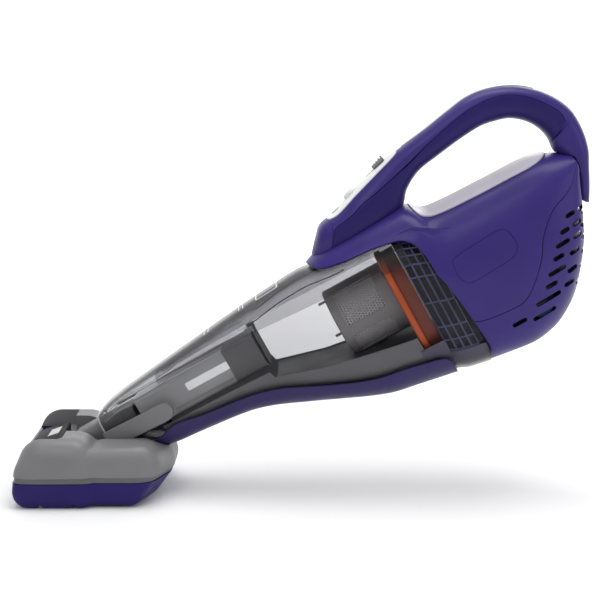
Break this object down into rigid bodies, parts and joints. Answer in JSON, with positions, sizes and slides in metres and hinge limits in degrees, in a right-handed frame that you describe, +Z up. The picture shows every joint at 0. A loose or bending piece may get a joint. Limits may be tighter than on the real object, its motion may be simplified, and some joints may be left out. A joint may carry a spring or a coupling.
{
  "type": "cordless handheld vacuum with pet head",
  "caption": "Cordless handheld vacuum: loop handle over a motor body, clear tapered dust bowl with a ring filter, and a motorised brush head on the nozzle.",
  "frame": {"origin": "centre of the pet head's flat sole, where it rests on the floor", "axes": "+X to the rear along the floor, +Y to the vacuum's own left seen from the handle, +Z up; the vacuum's own axis rises 29 degrees from +X"},
  "size_m": [0.4665, 0.1198, 0.337],
  "materials": {
    "purple_body": "gloss",
    "purple_grip": "satin",
    "purple_head": "satin",
    "white_plastic": "satin",
    "pale_grey": "satin",
    "mid_grey": "matte",
    "dark_grey": "matte",
    "clear_smoke": "gloss",
    "orange_rim": "gloss",
    "filter_paper": "matte",
    "fine_mesh": "satin",
    "steel": "satin",
    "brass": "satin",
    "rubber": "matte",
    "cell_wrap": "satin",
    "board_green": "satin",
    "bristle": "matte",
    "wire": "satin"
  },
  "bodies": {
    "main_body": {"body_shell_left": "purple_body", "body_shell_right": "purple_body", "rear_vent_cover": "purple_body", "handle_top_cover": "purple_body", "handle_grip": "purple_grip", "switch_panel": "white_plastic", "saddle_insert": "pale_grey", "handle_top_insert": "pale_grey", "indicator_lens": "dark_grey", "inlet_grille": "mid_grey", "fan_shroud": "mid_grey", "motor_can": "steel", "motor_mount_ring": "rubber", "battery_cells": "cell_wrap", "battery_holder": "dark_grey", "circuit_board": "board_green", "charge_jack": "dark_grey", "slide_microswitch": "dark_grey", "wire_harness": "wire", "body_screws": "steel", "button_spring": "steel"},
    "power_slide": {"power_switch": "mid_grey"},
    "release_button": {"release_button": "white_plastic"},
    "fan_rotor": {"fan_impeller": "pale_grey", "motor_shaft": "steel"},
    "bowl_assembly": {"dust_bowl": "clear_smoke", "keel_cover": "purple_body", "intake_duct": "mid_grey", "flap_pin": "steel", "supply_ribbon": "rubber"},
    "inlet_flap": {"inlet_flap": "rubber"},
    "filter_assembly": {"filter_rim": "orange_rim", "filter_strainer": "dark_grey", "filter_mesh": "fine_mesh", "pleated_filter": "filter_paper"},
    "pet_head": {"head_top_shell": "mid_grey", "head_bottom_shell": "purple_head", "head_spout": "mid_grey", "nozzle_saddle": "mid_grey", "brush_cover": "dark_grey", "label_plate": "pale_grey", "sole_plate": "dark_grey", "brush_bearings": "steel", "drive_belt": "rubber", "head_motor": "steel", "contact_pins": "brass", "head_screws": "steel"},
    "brushroll": {"brushroll_core": "dark_grey", "bristle_strips": "bristle", "brush_pulley": "dark_grey"},
    "head_rotor": {"motor_pulley": "brass"}
  },
  "joints": [
    {"name": "power_slide_travel", "type": "slide", "parent": "main_body", "child": "power_slide", "axis": [-0.7314, 0, -0.682], "range_m": [0, 0.008]},
    {"name": "release_button_press", "type": "slide", "parent": "main_body", "child": "release_button", "axis": [0.7314, 0, -0.682], "range_m": [0, 0.0025], "stiffness_N_per_m": 900, "springref_m": -0.001, "deforming": ["button_spring"]},
    {"name": "fan_spin", "type": "hinge", "parent": "main_body", "child": "fan_rotor", "pos_m": [0.30958, 0, 0.18514], "axis": [0.8746, 0, 0.4848], "continuous": true},
    {"name": "bowl_pull_off", "type": "slide", "parent": "main_body", "child": "bowl_assembly", "axis": [-0.8746, 0, -0.4848], "range_m": [0, 0.15]},
    {"name": "filter_pull_out", "type": "slide", "parent": "main_body", "child": "filter_assembly", "axis": [-0.8746, 0, -0.4848], "range_m": [0, 0.075]},
    {"name": "inlet_flap_swing", "type": "hinge", "parent": "bowl_assembly", "child": "inlet_flap", "pos_m": [0.13893, 0, 0.13822], "axis": [0, -1, 0], "range_deg": [0, 50], "stiffness_Nm_per_rad": 0.0015, "springref_deg": -34.38},
    {"name": "head_pull_off", "type": "slide", "parent": "bowl_assembly", "child": "pet_head", "axis": [-0.8746, 0, -0.4848], "range_m": [0, 0.08]},
    {"name": "brushroll_spin", "type": "hinge", "parent": "pet_head", "child": "brushroll", "pos_m": [-0.019, 0, 0.021], "axis": [0, 1, 0], "continuous": true},
    {"name": "head_motor_spin", "type": "hinge", "parent": "pet_head", "child": "head_rotor", "pos_m": [0.037, 0, 0.0168], "axis": [0, 1, 0], "continuous": true}
  ],
  "couplings": [
    {"joint": "filter_pull_out", "follows": "bowl_pull_off", "ratio": 0.5},
    {"joint": "head_motor_spin", "follows": "brushroll_spin", "ratio": 2.2}
  ]
}
